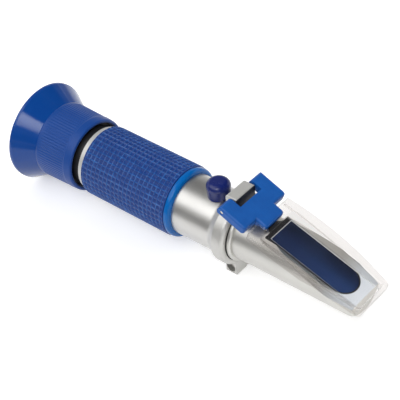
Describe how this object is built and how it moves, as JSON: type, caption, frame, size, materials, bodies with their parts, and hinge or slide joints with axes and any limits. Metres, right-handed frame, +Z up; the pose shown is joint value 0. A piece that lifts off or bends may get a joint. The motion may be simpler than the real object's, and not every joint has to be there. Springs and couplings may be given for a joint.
{
  "type": "handheld refractometer",
  "caption": "Handheld refractometer: eyecup, gripped barrel, calibration screw under a cap, and a sloping prism under a hinged clear cover plate.",
  "frame": {"origin": "middle of the bounding box seen from above, at its lowest level", "axes": "+X along the optical axis from the eyecup to the prism, +Y along the hinge pin, +Z up through the cap"},
  "size_m": [0.1604, 0.0404, 0.0404],
  "materials": {
    "eyecup_rubber": "smooth deep blue rubber",
    "black_plastic": "black moulded",
    "spring_steel": "plain",
    "black_alloy": "black anodised",
    "lens_glass": "clear coated",
    "satin_alloy": "satin anodised silver",
    "grip_rubber": "fine raised lattice, blue",
    "blue_gloss": "glossy blue",
    "brass": "turned",
    "cap_rubber": "dark blue, smooth",
    "cast_collar": "blasted die casting, silver",
    "seal_rubber": "black",
    "prism_glass": "dark blue, polished",
    "clear_plastic": "clear moulded acrylic",
    "blue_plastic": "satin mid blue"
  },
  "bodies": {
    "barrel": {"barrel": "satin_alloy", "dust_ring": "black_plastic", "grip_sleeve": "grip_rubber", "trim_ring": "blue_gloss", "guide_pin": "spring_steel", "reticle": "lens_glass", "reticle_ring": "black_alloy", "light_baffle": "black_alloy", "bimetal_strip": "spring_steel", "strip_rivet": "spring_steel", "screw_bush": "brass", "hinge_collar": "cast_collar", "clamp_screw": "spring_steel", "neck_seal": "seal_rubber", "prism_box": "satin_alloy", "prism": "prism_glass", "prism_seal": "seal_rubber"},
    "focus_tube": {"eyepiece_tube": "black_alloy", "eye_lens": "lens_glass", "lens_spacer": "black_alloy", "field_lens": "lens_glass", "lens_retainer": "black_alloy"},
    "eyecup": {"eyecup": "eyecup_rubber", "focus_ring": "black_plastic", "snap_ring": "spring_steel"},
    "lens_carrier": {"objective_cell": "brass", "objective_lens": "lens_glass"},
    "calibration_screw": {"calibration_screw": "brass"},
    "screw_cap": {"screw_cap": "cap_rubber"},
    "cover": {"hinge_pin": "spring_steel", "hinge_block": "blue_plastic", "cover_plate": "clear_plastic"}
  },
  "joints": [
    {"name": "focus_slide", "type": "slide", "parent": "barrel", "child": "focus_tube", "axis": [1, 0, 0], "range_m": [-0.00126, 0.00126]},
    {"name": "focus_turn", "type": "hinge", "parent": "focus_tube", "child": "eyecup", "pos_m": [-0.06315, 0, 0.0202], "axis": [1, 0, 0], "range_deg": [-150, 150]},
    {"name": "cell_slide", "type": "slide", "parent": "barrel", "child": "lens_carrier", "axis": [0, 0, 1], "range_m": [-0.00035, 0.00035], "deforming": ["bimetal_strip"]},
    {"name": "calibration_turn", "type": "hinge", "parent": "lens_carrier", "child": "calibration_screw", "pos_m": [0.01135, 0, 0.0322], "axis": [0, 0, 1], "range_deg": [-361, 361]},
    {"name": "cap_lift", "type": "slide", "parent": "barrel", "child": "screw_cap", "axis": [0, 0, 1], "range_m": [0, 0.008]},
    {"name": "cover_hinge", "type": "hinge", "parent": "barrel", "child": "cover", "pos_m": [0.02253, 0, 0.03752], "axis": [0, -1, 0], "range_deg": [0, 115]}
  ],
  "couplings": [
    {"joint": "focus_slide", "follows": "focus_turn", "m_per_rad": 0.00047746},
    {"joint": "calibration_turn", "follows": "cell_slide", "rad_per_m": 17952}
  ]
}
